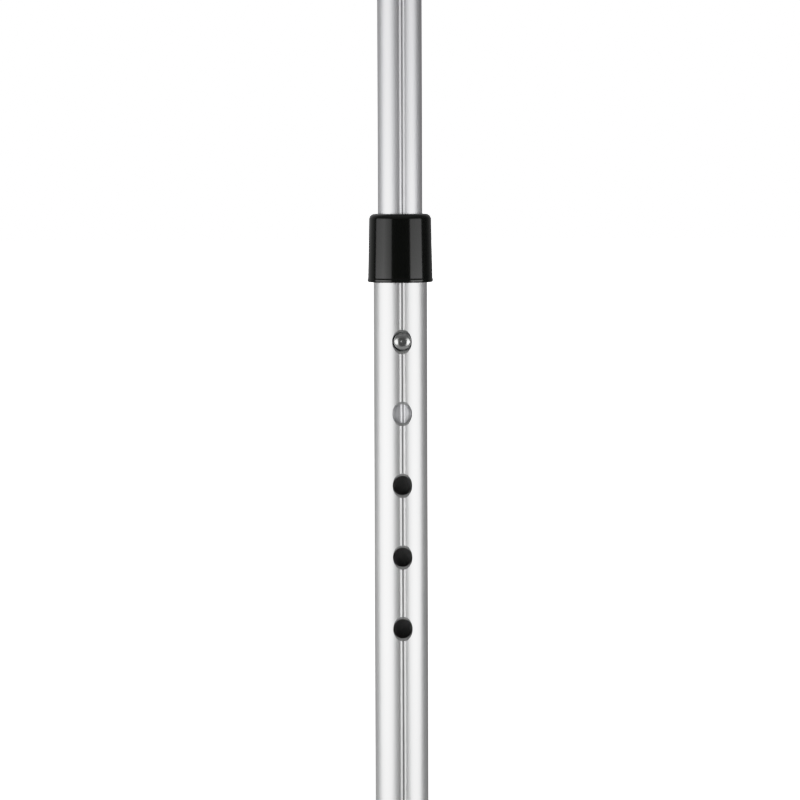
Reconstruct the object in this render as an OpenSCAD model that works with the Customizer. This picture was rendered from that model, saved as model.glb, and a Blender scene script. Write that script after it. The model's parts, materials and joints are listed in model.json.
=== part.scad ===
// Quad walking cane: telescopic aluminium shaft with an offset handle, on a
// four-legged steel base. Millimetres, +Z up, +X the walking direction, +Y the
// user's side. The origin is on the floor, in the middle of the four feet.

/* [Height] */
// Top of the grip above the floor, at the longest setting
overall_height = 914; // [860:1:980]
// Height snap button above the floor
button_height = 480; // [440:1:520]
// Number of height holes
hole_count = 5; // [3:1:6]
// Distance from one height hole to the next
hole_pitch = 25.4; // [20:0.1:26]

/* [Tubes] */
// Outside diameter of the lower tube
lower_tube_d = 19.05; // [18.5:0.05:20]
// Wall of the lower tube
lower_wall = 1.5; // [1.4:0.05:1.6]
// Wall of the upper tube
upper_wall = 1.47; // [1.4:0.01:1.6]
// Radial gap between tubes that slide or turn in one another
running_gap = 0.0875; // [0.05:0.0025:0.1]
// Radius of the groove down the front of both tubes
groove_r = 1.15; // [1.1:0.05:1.3]
// Depth of that groove
groove_depth = 0.65; // [0.6:0.01:0.7]
// Gap between the key rib of the lower tube and the groove it runs in
key_gap = 0.3; // [0.2:0.01:0.35]

/* [Snap buttons] */
// Diameter of a button
button_d = 6.2; // [5.8:0.1:6.3]
// Gap around a button in the tube that carries it
button_gap = 0.075; // [0.05:0.005:0.1]
// Diameter of the holes that a button snaps into
button_hole_d = 6.75; // [6.6:0.05:7.2]
// Diameter of the countersink around them, at the tube's crest
countersink_d = 8.8; // [8.4:0.1:9.8]
// How far a button's dome stands out of the tube
button_stand = 2.5; // [1.5:0.1:3]

/* [Collar] */
// Height of the collar on top of the lower tube
collar_h = 24.2; // [20:0.1:28]
// Distance from the button up to the collar's lower rim
collar_above_button = 20.8; // [14:0.1:24]
// Diameter just under the collar's top shoulder
collar_top_d = 22.1; // [21.8:0.1:24]
// Diameter just above the collar's bottom bead
collar_bottom_d = 23.1; // [22.2:0.1:25]

/* [Handle] */
// Radius of the bend that takes the neck backwards
neck_bend_r = 40; // [32:1:45]
// Angle of that bend
neck_angle = 60; // [50:1:65]
// Straight length between the two bends
neck_straight = 45; // [30:1:50]
// Radius of the bend under the back of the grip
heel_bend_r = 28; // [24:1:32]
// Length of the grip
grip_length = 115; // [100:1:125]
// Largest diameter of the grip
grip_d = 32; // [30:0.5:36]
// Diameter of the grip at its waists
grip_waist_d = 28; // [26:0.5:29]

/* [Base] */
// Distance between the feet along the walking direction
feet_length = 174; // [150:1:200]
// Distance between the feet across it
feet_width = 137; // [120:1:150]
// Distance of the shaft from the middle, towards the user
shaft_offset = 23.5; // [15:0.5:26]
// Outside diameter of the leg tubes
leg_d = 15.875; // [15:0.125:17]
// Wall of the leg tubes
leg_wall = 1.2; // [1:0.1:1.5]
// Height of the leg tubes where they are welded to the socket
hub_height = 93; // [88:1:100]
// Height of the knees above the floor
knee_height = 78; // [70:1:86]
// Radius of the bend at each knee
knee_bend_r = 22; // [18:1:26]
// Bottom of the socket tube above the floor
socket_bottom = 66; // [60:1:72]
// Top of the socket tube above the floor
socket_top = 150; // [145:1:156]
// Base snap button above the floor
base_button_height = 118; // [114:1:122]

/* [Feet] */
// Diameter of a rubber tip on the floor
tip_d = 29; // [27:0.5:34]
// Height of a rubber tip
tip_h = 38; // [34:1:42]

/* [Hidden] */
$fn = 96;
// How much thicker than its drawing a tube's section is made
$grow = 0;
FEET = ["front_inner", "front_outer", "back_inner", "back_outer"];
FOOT_TIPS = [for (f = FEET) str("foot_tip_", f)];
FOOT_WASHERS = [for (f = FEET) str("foot_washer_", f)];

// Tubes
lower_r = lower_tube_d / 2;
lower_bore = lower_r - lower_wall;
upper_r = lower_bore - running_gap;
upper_bore = upper_r - upper_wall;
upper_groove_bottom = upper_r - groove_depth;
key_r = 0.85;
key_bottom = upper_groove_bottom + key_gap;
wall_behind_groove = 1.1;

// Heights along the shaft
upper_below_button = 38.1;
upper_bottom = button_height - upper_below_button;
collar_bottom = button_height + collar_above_button;
collar_top = collar_bottom + collar_h;
collar_lip = 2.5;
lower_top = collar_top - collar_lip;

// Socket
socket_bore = lower_r + running_gap;
socket_wall = 1.5;
socket_r = socket_bore + socket_wall;
stop_h = 6;
lower_bottom = socket_bottom + stop_h;
socket_collar_h = 19;
socket_collar_lip = 3;
socket_collar_bottom = socket_top + socket_collar_lip - socket_collar_h;

// Buttons and their spring clips: how far from a bore's axis something of a
// given half width can reach before it touches the bore
function reach_in(bore, half_w) = sqrt(bore * bore - half_w * half_w) - clip_play;
clip_play = 0.04;
clip_w = 6;
flange_h = 0.8;
flange_r = button_d / 2 + 1;
height_seat = reach_in(upper_bore, flange_r) - flange_h;
base_seat = reach_in(lower_bore, flange_r) - flange_h;

// Handle: the neck leans back, and the heel bend brings the tube level again
grip_axis = overall_height - grip_d / 2;
neck_back_x = -neck_bend_r * (1 - cos(neck_angle)) - neck_straight * sin(neck_angle);
heel_x = neck_back_x + heel_bend_r * cos(neck_angle);
heel_rise = heel_bend_r * (1 + sin(neck_angle));
neck_rise = neck_bend_r * sin(neck_angle) + neck_straight * cos(neck_angle) + heel_rise;
neck_start = grip_axis - neck_rise;
grip_inset = 2;
grip_back = heel_x + grip_inset;
grip_front = grip_back + grip_length;
tube_front = grip_front - grip_inset;

// Base
leg_r = leg_d / 2;
tip_floor = 9;
washer_h = 1.2;
leg_bottom = tip_floor + washer_h;
foot_x = feet_length / 2;
foot_y = feet_width / 2;
FOOT_PLACES = [for (x = [foot_x, -foot_x], y = [foot_y, -foot_y]) [x, y, 0]];
weld_gap = 0.05;
hub_half = 17;
hub_bend_r = 25;

// Colours
aluminium = [0.80, 0.81, 0.83];
bright_steel = [0.74, 0.75, 0.77];
spring_steel = [0.45, 0.46, 0.48];
black_plastic = [0.05, 0.05, 0.055];
soft_black = [0.11, 0.11, 0.12];
tip_rubber = [0.13, 0.13, 0.13];
weld_metal = [0.60, 0.60, 0.60];

// ---- Geometry helpers ----

function unit(v) = v / norm(v);

// Points of an arc in a plane, from angle a to angle b
function arc(centre, r, a, b, steps = 8) =
    [for (i = [0 : steps]) centre + r * [cos(a + (b - a) * i / steps), sin(a + (b - a) * i / steps)]];

// Matrix that puts local x, y, z along u, v, w at p
function placing(p, u, v, w) = [
    [u.x, v.x, w.x, p.x],
    [u.y, v.y, w.y, p.y],
    [u.z, v.z, w.z, p.z],
    [0, 0, 0, 1]
];

// Distance from a corner to where its bend begins
function tangent_length(a, b, c, r) =
    let (turn = acos(unit(b - a) * unit(c - b)))
    r * tan(turn / 2);

function bend_tangent(path, radii, i) =
    i == 0 || i == len(path) - 1
        ? 0
        : tangent_length(path[i - 1], path[i], path[i + 1], radii[i - 1]);

// Sweeps a flat profile along straight runs and bends. The profile's y axis
// stays along key_side, so a groove drawn at -y stays on one side of the tube.
// A bend is a hair thicker than the runs, and they lap into it, so that no two
// surfaces coincide where they join.
module bent_along(path, radii, key_side = [0, 1, 0]) {
    lap = 0.05;
    last = len(path) - 2;
    for (i = [0 : last]) {
        d = unit(path[i + 1] - path[i]);
        start = path[i] + d * (bend_tangent(path, radii, i) - (i > 0 ? lap : 0));
        stop = path[i + 1] - d * (bend_tangent(path, radii, i + 1) - (i < last ? lap : 0));
        v = unit(key_side - d * (key_side * d));
        multmatrix(placing(start, cross(v, d), v, d))
            linear_extrude(norm(stop - start))
                children();
    }
    for (i = [1 : len(path) - 2]) {
        before = unit(path[i] - path[i - 1]);
        after = unit(path[i + 1] - path[i]);
        inward = unit(after - before * (before * after));
        axis = cross(before, inward);
        r = radii[i - 1];
        $grow = 0.01;
        centre = path[i] - before * bend_tangent(path, radii, i) + inward * r;
        multmatrix(placing(centre, -inward, before, axis))
            rotate_extrude(angle = acos(before * after))
                translate([r, 0])
                    mirror([0, axis * key_side < 0 ? 1 : 0])
                        children();
    }
}

module ring_profile(outer, inner) {
    difference() {
        circle(outer + $grow);
        circle(inner - $grow);
    }
}

// Tube section with the groove at -y and a rib behind it in the bore
module grooved_profile(outer, inner, rib_bottom, rib_r) {
    difference() {
        circle(outer + $grow);
        translate([0, -(outer - groove_depth + groove_r)])
            circle(groove_r - $grow);
        difference() {
            circle(inner - $grow);
            translate([0, -(rib_bottom + rib_r)])
                circle(rib_r + $grow);
        }
    }
}

// Children are drawn about the shaft's axis, at floor height
module on_shaft(z = 0) {
    translate([0, shaft_offset, z])
        children();
}

// Children drawn along +z point out of the front of the shaft, towards -y
module facing_front(z) {
    on_shaft(z)
        rotate([90, 0, 0])
            children();
}

// Hole with a countersink, for a button to snap into
module snap_hole(tube_r) {
    cone_h = (countersink_d - button_hole_d) / 2;
    over = 1;
    cylinder(d = button_hole_d, h = tube_r + over);
    translate([0, 0, tube_r - cone_h])
        cylinder(d1 = button_hole_d, d2 = countersink_d + 2 * over, h = cone_h + over);
}

// Button with a flange that keeps it in the tube, from z = seat outwards
module snap_button(seat, tip) {
    r = button_d / 2;
    dome_h = 2.2;
    dome_r = (r * r + dome_h * dome_h) / (2 * dome_h);
    half = asin(r / dome_r);
    rotate_extrude()
        polygon(concat(
            [[0, seat], [flange_r, seat], [flange_r, seat + flange_h], [r, seat + flange_h]],
            arc([0, tip - dome_r], dome_r, 90 - half, 90)
        ));
}

// Bent strip behind a button: front leg, bend above it, back leg
module spring_clip(front_face, back_face) {
    thick = 0.7;
    rise = 20;
    below = 5;
    outer = (front_face + back_face) / 2;
    middle = (back_face - front_face) / 2;
    rotate([90, 0, 90])
        linear_extrude(clip_w, center = true)
            union() {
                translate([-front_face, -below])
                    square([thick, rise + below]);
                translate([back_face - thick, 0])
                    square([thick, rise]);
                translate([middle, rise])
                    difference() {
                        circle(outer);
                        circle(outer - thick);
                        translate([-2 * outer, -4 * outer])
                            square(4 * outer);
                    }
            }
}

// Push-on plastic collar: it covers a tube's end and closes on the tube inside
module push_collar(fit_r, hole_r, top_d, bottom_d, h, lip) {
    shoulder = 1.9;
    bead = 0.08;
    bead_h = 1.6;
    rim = 0.5;
    top_r = top_d / 2;
    bottom_r = bottom_d / 2;
    bead_r = bottom_r + bead;
    rotate_extrude()
        polygon(concat(
            [[fit_r, 0], [bead_r - rim, 0]],
            arc([bead_r - rim, rim], rim, -90, 0, 4),
            [[bead_r, bead_h], [bottom_r, bead_h + 2 * bead]],
            arc([top_r - shoulder, h - shoulder], shoulder, 0, 90),
            [[hole_r, h], [hole_r, h - lip], [fit_r, h - lip]]
        ));
}

// ---- Upper half ----

handle_path = [
    [0, 0, upper_bottom],
    [0, 0, neck_start + neck_bend_r * tan(neck_angle / 2)],
    [heel_x - heel_bend_r * tan((90 + neck_angle) / 2), 0, grip_axis],
    [tube_front, 0, grip_axis]
];

module upper_tube() {
    rib_r = groove_r + wall_behind_groove;
    color(aluminium)
        difference() {
            on_shaft()
                bent_along(handle_path, [neck_bend_r, heel_bend_r])
                    grooved_profile(upper_r, upper_bore, upper_groove_bottom - wall_behind_groove, rib_r);
            facing_front(button_height)
                cylinder(d = button_d + 2 * button_gap, h = upper_r + 1);
        }
}

// Moulded grip: a swell for the palm between two waists, and a rim at each end
module handle_grip() {
    waist = grip_waist_d / 2;
    rim_w = 4;
    rim_r = waist + 1.2;
    edge = 1.2;
    slope = 0.6;
    swell = grip_d / 2 - waist;
    body = grip_length - 2 * rim_w;
    steps = 16;
    color(soft_black)
        translate([grip_back, shaft_offset, grip_axis])
            rotate([0, 90, 0])
                rotate_extrude()
                    polygon(concat(
                        [[upper_r, 0], [rim_r - edge, 0]],
                        arc([rim_r - edge, edge], edge, -90, 0, 4),
                        [[rim_r, rim_w - slope]],
                        [for (i = [0 : steps]) [waist + swell * pow(sin(180 * i / steps), 2),
                                                rim_w + body * i / steps]],
                        [[rim_r, grip_length - rim_w + slope]],
                        arc([rim_r - edge, grip_length - edge], edge, 0, 90, 4),
                        [[upper_r, grip_length]]
                    ));
}

// Plug in the tube's open end, with a domed head over the front of the grip
module handle_end_cap() {
    head_r = grip_waist_d / 2 - 0.4;
    head_h = 4.5;
    crown = 0.6;
    edge = 2.5;
    plug_l = 14;
    plug_r = upper_bore - wall_behind_groove / 2;
    lead_in = 1;
    seat_r = upper_r - 0.2;
    color(black_plastic)
        translate([grip_front, shaft_offset, grip_axis])
            rotate([0, 90, 0])
                rotate_extrude()
                    polygon(concat(
                        [[0, -plug_l], [plug_r - lead_in, -plug_l], [plug_r, lead_in - plug_l]],
                        [[plug_r, -grip_inset], [seat_r, -grip_inset], [seat_r, 0], [head_r, 0]],
                        arc([head_r - edge, head_h - edge - crown], edge, 0, 80),
                        [[0, head_h]]
                    ));
}

module height_button() {
    color(bright_steel)
        facing_front(button_height)
            snap_button(height_seat, lower_r + button_stand);
}

module height_button_spring() {
    color(spring_steel)
        on_shaft(button_height)
            spring_clip(height_seat, reach_in(upper_bore, clip_w / 2));
}

// ---- Lower half ----

module lower_tube() {
    color(aluminium)
        difference() {
            on_shaft(lower_bottom)
                linear_extrude(lower_top - lower_bottom)
                    grooved_profile(lower_r, lower_bore, key_bottom, key_r);
            for (i = [0 : hole_count - 1])
                facing_front(button_height - i * hole_pitch)
                    snap_hole(lower_r);
            facing_front(base_button_height)
                cylinder(d = button_d + 2 * button_gap, h = lower_r + 1);
        }
}

module tube_collar() {
    color(black_plastic)
        on_shaft(collar_bottom)
            push_collar(lower_r, lower_bore, collar_top_d, collar_bottom_d, collar_h, collar_lip);
}

module base_button() {
    color(bright_steel)
        facing_front(base_button_height)
            snap_button(base_seat, socket_r + button_stand);
}

module base_button_spring() {
    color(spring_steel)
        on_shaft(base_button_height)
            spring_clip(base_seat, reach_in(lower_bore, clip_w / 2));
}

// ---- Base ----

// Holes front and back: the base turns half round for the other hand
module base_socket() {
    color(bright_steel)
        difference() {
            on_shaft(socket_bottom)
                linear_extrude(socket_top - socket_bottom)
                    ring_profile(socket_r, socket_bore);
            facing_front(base_button_height)
                cylinder(d = button_hole_d, h = 2 * socket_r);
            facing_front(base_button_height)
                mirror([0, 0, 1])
                    cylinder(d = button_hole_d, h = 2 * socket_r);
        }
}

module socket_collar() {
    color(black_plastic)
        on_shaft(socket_collar_bottom)
            push_collar(
                socket_r,
                socket_bore,
                2 * socket_r + 3,
                2 * socket_r + 4,
                socket_collar_h,
                socket_collar_lip
            );
}

module socket_stop() {
    foot_h = 2;
    foot_r = socket_r - 0.4;
    color(black_plastic)
        on_shaft(socket_bottom) {
            cylinder(r = socket_bore, h = stop_h);
            translate([0, 0, -foot_h])
                cylinder(r = foot_r, h = foot_h);
        }
}

// One tube makes two legs: side is 1 next to the user, -1 on the far side
function leg_path(side) =
    let (hub_y = shaft_offset + side * (socket_r + leg_r + weld_gap))
    let (y = side * foot_y)
    [
        [-foot_x, y, leg_bottom],
        [-foot_x, y, knee_height],
        [-hub_half, hub_y, hub_height],
        [hub_half, hub_y, hub_height],
        [foot_x, y, knee_height],
        [foot_x, y, leg_bottom]
    ];

module leg_tube(side) {
    color(bright_steel)
        bent_along(leg_path(side), [knee_bend_r, hub_bend_r, hub_bend_r, knee_bend_r])
            ring_profile(leg_r, leg_r - leg_wall);
}

module leg_tube_inner() {
    leg_tube(1);
}

module leg_tube_outer() {
    leg_tube(-1);
}

// A ring of weld between the socket and each leg tube
module frame_welds() {
    bead_outer = 6.4;
    bead_inner = 3;
    reach = socket_r + leg_r;
    color(weld_metal)
        for (side = [1, -1])
            difference() {
                on_shaft(hub_height)
                    rotate([-90 * side, 0, 0])
                        linear_extrude(reach)
                            ring_profile(bead_outer, bead_inner);
                on_shaft(socket_bottom)
                    cylinder(r = socket_r, h = socket_top - socket_bottom);
                translate([0, shaft_offset + side * (reach + weld_gap), hub_height])
                    rotate([0, 90, 0])
                        cylinder(r = leg_r, h = 4 * bead_outer, center = true);
            }
}

// Ferrule: a flared foot with tread rings, and a banded sleeve around the leg
module foot_tip(place) {
    flare_r = tip_d / 2;
    flare_h = 6.5;
    sleeve_r = leg_r + 3.2;
    cove = flare_r - 0.4 - sleeve_r;
    top_r = sleeve_r - 0.5;
    top_edge = 1.2;
    slant = 0.4;
    recess = 2;
    recess_r = flare_r - 8;
    tread_r = flare_r - 4;
    half = 1;
    tread = 1.5;
    band = 0.7;
    band_h = 2.2;
    bands = [17, 21.5, 26];
    color(tip_rubber)
        translate(place)
            rotate_extrude()
                polygon(concat(
                    [[0, tip_floor], [0, recess], [recess_r, recess], [recess_r + slant, 0]],
                    [[tread_r - half, 0], [tread_r - half + slant, tread]],
                    [[tread_r + half - slant, tread], [tread_r + half, 0]],
                    arc([flare_r - 1, 1], 1, -90, 0, 4),
                    arc([sleeve_r + cove, flare_h + cove], cove, 270, 180),
                    [for (z = bands, p = [[0, 0], [band, slant], [band, band_h - slant], [0, band_h]])
                        [sleeve_r + p.x, z + p.y]],
                    arc([top_r - top_edge, tip_h - top_edge], top_edge, 0, 90, 4),
                    [[leg_r, tip_h], [leg_r, tip_floor]]
                ));
}

// Steel disc that keeps the leg from cutting through its ferrule
module foot_washer(place) {
    color(spring_steel)
        translate(place + [0, 0, tip_floor])
            linear_extrude(washer_h)
                ring_profile(leg_r - 0.2, 2.5);
}

upper_tube();
handle_grip();
handle_end_cap();
height_button();
height_button_spring();
lower_tube();
tube_collar();
base_button();
base_button_spring();
base_socket();
socket_collar();
socket_stop();
leg_tube_inner();
leg_tube_outer();
frame_welds();
for (i = [0 : 3]) foot_tip(FOOT_PLACES[i]);
for (i = [0 : 3]) foot_washer(FOOT_PLACES[i]);
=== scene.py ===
"""Looks of a quad walking cane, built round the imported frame.

Metres, +Z up, +X the walking direction. The height holes face -Y, where the camera is.
Sizes that the CAD also has are measured on its boxes, or repeated here in millimetres.
"""
import json
import math

import bmesh
import bpy
import numpy as np
from mathutils import Matrix, Quaternion, Vector


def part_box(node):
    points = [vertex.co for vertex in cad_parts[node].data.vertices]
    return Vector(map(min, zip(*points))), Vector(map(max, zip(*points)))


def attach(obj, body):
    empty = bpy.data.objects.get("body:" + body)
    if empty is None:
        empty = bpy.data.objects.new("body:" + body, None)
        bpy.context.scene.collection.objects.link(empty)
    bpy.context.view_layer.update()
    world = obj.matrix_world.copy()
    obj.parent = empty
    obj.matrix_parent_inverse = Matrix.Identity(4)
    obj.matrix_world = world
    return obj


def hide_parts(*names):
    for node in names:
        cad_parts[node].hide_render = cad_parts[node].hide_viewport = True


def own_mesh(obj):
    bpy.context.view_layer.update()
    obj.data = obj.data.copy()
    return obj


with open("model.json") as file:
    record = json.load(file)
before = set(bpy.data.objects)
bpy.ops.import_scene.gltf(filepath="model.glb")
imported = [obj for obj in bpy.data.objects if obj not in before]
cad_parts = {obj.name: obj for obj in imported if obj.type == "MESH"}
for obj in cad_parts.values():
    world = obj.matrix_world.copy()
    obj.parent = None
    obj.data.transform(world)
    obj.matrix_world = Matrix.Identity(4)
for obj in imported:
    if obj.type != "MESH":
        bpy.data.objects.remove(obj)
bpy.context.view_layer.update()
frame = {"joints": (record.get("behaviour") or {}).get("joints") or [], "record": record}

MM = 0.001
TAU = 2 * math.pi

# ------------ measures


def centre(node):
    lowest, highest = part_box(node)
    return (lowest + highest) / 2


def low(node):
    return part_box(node)[0]


def high(node):
    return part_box(node)[1]


def height_of(node):
    return high(node).z - low(node).z


JOINTS = {joint["name"]: joint for joint in frame["joints"]}
BODY_OF = {
    node: body
    for body, nodes in frame["record"]["behaviour"]["bodies"].items()
    for node in nodes
}

# The shaft's axis is upright through the socket
AXIS = Vector((centre("base_socket").x, centre("base_socket").y, 0))
BUTTON_Z = centre("height_button").z
BASE_BUTTON_Z = centre("base_button").z
# The upper half goes down by this many holes
HOLE_STEPS = 4
HOLE_PITCH = -JOINTS["height_slide"]["range_m"][0] / HOLE_STEPS

# Tube sections
BEND_EXTRA = 0.01 * MM
LOWER_R = high("lower_tube").x - AXIS.x
LOWER_WALL = 1.5 * MM
UPPER_R = high("upper_tube").y - AXIS.y - BEND_EXTRA
UPPER_WALL = 1.47 * MM
GROOVE_R = 1.15 * MM
GROOVE_DEPTH = 0.65 * MM
GROOVE_SHOULDER = 0.05 * MM
KEY_R = 0.85 * MM
KEY_GAP = 0.3 * MM
WALL_BEHIND_GROOVE = 1.1 * MM
# The upper tube is turned a little in the lower one, as far as the key lets it
KEY_PLAY = math.radians(2)
SOCKET_R = high("base_socket").x - AXIS.x
SOCKET_WALL = 1.5 * MM
LEG_WALL = 1.2 * MM
LEG_R = high("leg_tube_inner").x - centre("foot_tip_front_inner").x - BEND_EXTRA

# Buttons and their holes. A hole's pocket is a tall oval, and the button sits off centre
BUTTON_R = 3.05 * MM
CARRIER_HOLE_R = 3.3 * MM
SNAP_HOLE_R = 3.375 * MM
POCKET_R = 4.35 * MM
POCKET_SIDE = 3.5 * MM
POCKET_DEPTH = 1.35 * MM
POCKET_WALL = 0.75 * MM
BUTTON_OFF = Vector((0.08, 0, 0.22)) * MM

# Handle
NECK_BEND_R = 40 * MM
NECK_ANGLE = math.radians(60)
NECK_STRAIGHT = 45 * MM
HEEL_BEND_R = 28 * MM

# Legs
KNEE_Z = 78 * MM
KNEE_BEND_R = 22 * MM
HUB_Z = centre("frame_welds").z
HUB_HALF = 17 * MM
HUB_BEND_R = 25 * MM
WELD_GAP = 0.05 * MM


def on_axis(z):
    return AXIS + Vector((0, 0, z))


# ------------ outlines


def arc(x, y, radius, start, stop, steps):
    """Points round a centre, from one angle to another, in degrees."""
    angles = [math.radians(start + (stop - start) * i / steps) for i in range(steps + 1)]
    return [Vector((x + radius * math.cos(a), y + radius * math.sin(a))) for a in angles]


def circle(radius, count):
    """Closed loop that starts at +y, where a seam shows least."""
    return arc(0, 0, radius, 90, 450, count)[:-1]


def joined(*stretches):
    """One closed loop from stretches that each start where the last one ends."""
    return [point for stretch in stretches for point in stretch[:-1]]


def rounded(corners, steps=5, share=0.49):
    """Closed outline through (a, b, radius) corners, each rounded by its radius.

    A rounding takes at most this share of the edges beside its corner.
    """
    points = []
    count = len(corners)
    for i, (a, b, radius) in enumerate(corners):
        here = Vector((a, b))
        if radius == 0:
            points.append(here)
            continue
        back = Vector(corners[i - 1][:2]) - here
        ahead = Vector(corners[(i + 1) % count][:2]) - here
        half = back.angle(ahead) / 2
        reach = min(radius / math.tan(half), share * back.length, share * ahead.length)
        fitted = reach * math.tan(half)
        inward = (back.normalized() + ahead.normalized()).normalized()
        hub = here + inward * (fitted / math.sin(half))
        first = here + back.normalized() * reach - hub
        last = here + ahead.normalized() * reach - hub
        turn = first.angle_signed(last)
        for k in range(steps + 1):
            spin = -turn * k / steps
            points.append(hub + Matrix.Rotation(spin, 2) @ first)
    return points


MAIN_STEPS = 56
SHOULDER_STEPS = 5
GROOVE_STEPS = 14


def grooved_outside(radius):
    """Outside of a tube with a groove at -y whose shoulders are rounded."""
    groove_y = radius - GROOVE_DEPTH + GROOVE_R
    fillet_y = radius - GROOVE_SHOULDER
    reach = GROOVE_R + GROOVE_SHOULDER
    off = math.acos((groove_y**2 + fillet_y**2 - reach**2) / (2 * groove_y * fillet_y))
    fx, fy = fillet_y * math.sin(off), -fillet_y * math.cos(off)
    dip = math.degrees(math.atan2(groove_y + fy, fx))
    off = math.degrees(off)
    return joined(
        arc(0, 0, radius, 90, 270 - off, MAIN_STEPS),
        arc(-fx, fy, GROOVE_SHOULDER, 270 - off, 360 - dip, SHOULDER_STEPS),
        arc(0, -groove_y, GROOVE_R, 180 - dip, dip, GROOVE_STEPS),
        arc(fx, fy, GROOVE_SHOULDER, 180 + dip, 270 + off, SHOULDER_STEPS),
        arc(0, 0, radius, 270 + off, 450, MAIN_STEPS),
    )


def ribbed_bore(radius, rib_bottom, rib_r):
    """Bore with a round rib at -y, with as many points as grooved_outside."""
    rib_y = rib_bottom + rib_r
    off = math.acos((radius**2 + rib_y**2 - rib_r**2) / (2 * radius * rib_y))
    left = Vector((-radius * math.sin(off), -radius * math.cos(off) + rib_y))
    turn = math.degrees(math.atan2(left.y, left.x))
    off = math.degrees(off)
    steps = MAIN_STEPS + SHOULDER_STEPS
    return joined(
        arc(0, 0, radius, 90, 270 - off, steps),
        arc(0, -rib_y, rib_r, turn, 180 - turn, GROOVE_STEPS),
        arc(0, 0, radius, 270 + off, 450, steps),
    )


def normals_of(loop):
    """Outward unit normals of a counter-clockwise loop."""
    count = len(loop)
    found = []
    for i in range(count):
        along = loop[(i + 1) % count] - loop[i - 1]
        found.append(Vector((along.y, -along.x)).normalized())
    return found


def rolled(loop):
    return loop[1:] + loop[:1]


def grown(loop, amount):
    return [point + normal * amount for point, normal in zip(loop, normals_of(loop))]


# ------------ meshes

SHARP_ANGLE = 40
TUBE_EDGE = 0.2 * MM
# An outline's point nearer the axis than this is a pole
ON_AXIS = 0.0001 * MM
# Material index of cut faces, and how far an upright wall's normal may tilt
CUT_INDEX = 1
WALL_TILT = 0.1


def linked(name, data):
    """Object with this data, in the scene."""
    thing = bpy.data.objects.new(name, data)
    bpy.context.scene.collection.objects.link(thing)
    return thing


def new_mesh(name, verts, faces, uvs=None):
    """Mesh whose UV map, if there is one, has a place for each vertex."""
    mesh = bpy.data.meshes.new(name)
    mesh.from_pydata([tuple(v) for v in verts], [], faces)
    if uvs is not None:
        layer = mesh.uv_layers.new(name="along")
        for loop in mesh.loops:
            layer.data[loop.index].uv = uvs[loop.vertex_index]
    return mesh


def new_piece(name, verts, faces, sharp_angle=SHARP_ANGLE, uvs=None):
    """Mesh object with outward normals, smooth except at edges sharper than the angle."""
    mesh = new_mesh(name, verts, faces, uvs)
    work = bmesh.new()
    work.from_mesh(mesh)
    bmesh.ops.recalc_face_normals(work, faces=work.faces)
    work.to_mesh(mesh)
    work.free()
    piece = linked(name, mesh)
    smooth(piece, sharp_angle)
    return piece


def quads(rows, count, wrap=False, start=0):
    """Quads between rows that are closed loops of count points; wrap joins the ends."""
    faces = []
    for i in range(rows if wrap else rows - 1):
        one = start + i * count
        two = start + (i + 1) % rows * count
        for j in range(count):
            nxt = (j + 1) % count
            faces.append([one + j, one + nxt, two + nxt, two + j])
    return faces


def smooth(piece, sharp_angle):
    piece.data.polygons.foreach_set("use_smooth", [True] * len(piece.data.polygons))
    piece.data.set_sharp_from_angle(angle=math.radians(sharp_angle))


def pointing(at, along, sideways):
    """Matrix whose Z runs along a direction, from a point."""
    z = Vector(along).normalized()
    y = (Vector(sideways) - z * z.dot(Vector(sideways))).normalized()
    x = y.cross(z)
    return Matrix.Translation(at) @ Matrix((x, y, z)).transposed().to_4x4()


def lathe(name, outline, place, segments=96):
    """Turns a closed outline of (radius, height) about Z. Points on the axis become poles."""
    verts = []
    rings = []
    for radius, height in outline:
        if radius < ON_AXIS:
            rings.append([len(verts)] * segments)
            verts.append(Vector((0, 0, height)))
        else:
            rings.append(list(range(len(verts), len(verts) + segments)))
            for k in range(segments):
                a = TAU * k / segments
                verts.append(Vector((radius * math.cos(a), radius * math.sin(a), height)))
    faces = []
    for one, two in zip(rings, rings[1:] + rings[:1]):
        for k in range(segments):
            nxt = (k + 1) % segments
            corners = [one[k], one[nxt], two[nxt], two[k]]
            unique = list(dict.fromkeys(corners))
            if len(unique) > 2:
                faces.append(unique)
    return new_piece(name, [place @ v for v in verts], faces)


def stations_along(path, radii, step=math.radians(3), key=Vector((0, 1, 0))):
    """(place, sideways, key, distance) along straight runs and round bends.

    The third of them stays as near the key side as the path allows.
    """
    path = [Vector(p) for p in path]
    marks = [(path[0], (path[1] - path[0]).normalized())]
    for i in range(1, len(path) - 1):
        before = (path[i] - path[i - 1]).normalized()
        after = (path[i + 1] - path[i]).normalized()
        turn = before.angle(after)
        radius = radii[i - 1]
        start = path[i] - before * radius * math.tan(turn / 2)
        inward = (after - before * before.dot(after)).normalized()
        hub = start + inward * radius
        axis = before.cross(inward)
        count = max(2, math.ceil(turn / step))
        for k in range(count + 1):
            spin = Quaternion(axis, turn * k / count)
            marks.append((hub + spin @ (-inward * radius), spin @ before))
    marks.append((path[-1], (path[-1] - path[-2]).normalized()))
    found = []
    travelled = 0
    for i, (place, along) in enumerate(marks):
        if i:
            travelled += (place - marks[i - 1][0]).length
        v = (key - along * key.dot(along)).normalized()
        found.append((place, v.cross(along), v, travelled))
    return found


def ends_rounded(stations, edge, steps=4):
    """The same stations with a quarter round at both ends: each also has an inset."""
    rings = [(*station, 0.0) for station in stations[1:-1]]
    for end, sign in ((0, 1), (-1, -1)):
        place, u, v, travelled = stations[end]
        along = u.cross(v) * sign
        lip = []
        for k in range(steps + 1):
            a = math.pi / 2 * k / steps
            ahead = edge * (1 - math.cos(a))
            inset = edge * (1 - math.sin(a))
            lip.append((place + along * ahead, u, v, travelled + sign * ahead, inset))
        rings = lip + rings if sign == 1 else rings + lip[::-1]
    return rings


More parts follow.
